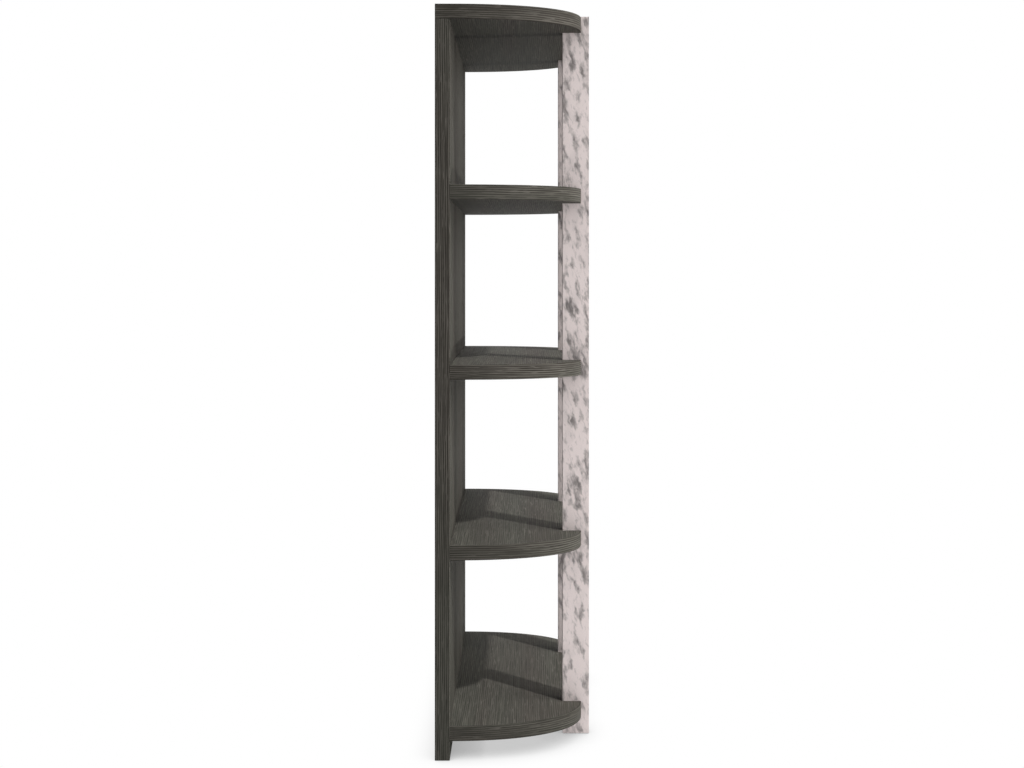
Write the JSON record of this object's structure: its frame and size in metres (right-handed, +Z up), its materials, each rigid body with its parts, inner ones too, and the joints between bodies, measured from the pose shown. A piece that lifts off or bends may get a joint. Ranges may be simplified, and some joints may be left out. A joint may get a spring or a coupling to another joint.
{
  "type": "etagere",
  "caption": "Tall open etagere: full back panel, thick shelves with bowed ends, and flat silver-finished posts let into their front edges.",
  "frame": {"origin": "on the floor, in the middle of the overall box", "axes": "+X to the right seen from the front, along the shelves; +Y to the back, square to the panel; +Z up"},
  "size_m": [1.006, 0.423, 2.032],
  "materials": {
    "dark_oak": "satin",
    "aged_silver": "aged silver leaf, satin",
    "beech": "matte",
    "zinc": "zinc plated",
    "black_plastic": "matte"
  },
  "bodies": {
    "root": {"back_panel": "dark_oak", "panel_edge_left": "dark_oak", "panel_edge_right": "dark_oak", "left_post": "aged_silver", "right_post": "aged_silver", "bottom_shelf": "dark_oak", "bottom_shelf_edge_left": "dark_oak", "bottom_shelf_edge_right": "dark_oak", "bottom_shelf_edge_front": "dark_oak", "bottom_shelf_post_dowel_left": "beech", "bottom_shelf_dowel_left": "beech", "bottom_shelf_screw_left": "zinc", "bottom_shelf_post_dowel_right": "beech", "bottom_shelf_dowel_right": "beech", "bottom_shelf_screw_right": "zinc", "lower_shelf": "dark_oak", "lower_shelf_edge_left": "dark_oak", "lower_shelf_edge_right": "dark_oak", "lower_shelf_edge_front": "dark_oak", "lower_shelf_post_dowel_left": "beech", "lower_shelf_dowel_left": "beech", "lower_shelf_screw_left": "zinc", "lower_shelf_post_dowel_right": "beech", "lower_shelf_dowel_right": "beech", "lower_shelf_screw_right": "zinc", "middle_shelf": "dark_oak", "middle_shelf_edge_left": "dark_oak", "middle_shelf_edge_right": "dark_oak", "middle_shelf_edge_front": "dark_oak", "middle_shelf_post_dowel_left": "beech", "middle_shelf_dowel_left": "beech", "middle_shelf_screw_left": "zinc", "middle_shelf_post_dowel_right": "beech", "middle_shelf_dowel_right": "beech", "middle_shelf_screw_right": "zinc", "upper_shelf": "dark_oak", "upper_shelf_edge_left": "dark_oak", "upper_shelf_edge_right": "dark_oak", "upper_shelf_edge_front": "dark_oak", "upper_shelf_post_dowel_left": "beech", "upper_shelf_dowel_left": "beech", "upper_shelf_screw_left": "zinc", "upper_shelf_post_dowel_right": "beech", "upper_shelf_dowel_right": "beech", "upper_shelf_screw_right": "zinc", "top_board": "dark_oak", "top_board_edge_left": "dark_oak", "top_board_edge_right": "dark_oak", "top_board_edge_front": "dark_oak", "top_board_post_dowel_left": "beech", "top_board_post_dowel_right": "beech", "top_board_dowel_left": "beech", "panel_glide_left": "black_plastic", "top_board_dowel_middle": "beech", "panel_glide_middle": "black_plastic", "top_board_dowel_right": "beech", "panel_glide_right": "black_plastic", "post_glide_left": "black_plastic", "post_glide_right": "black_plastic"}
  },
  "joints": []
}
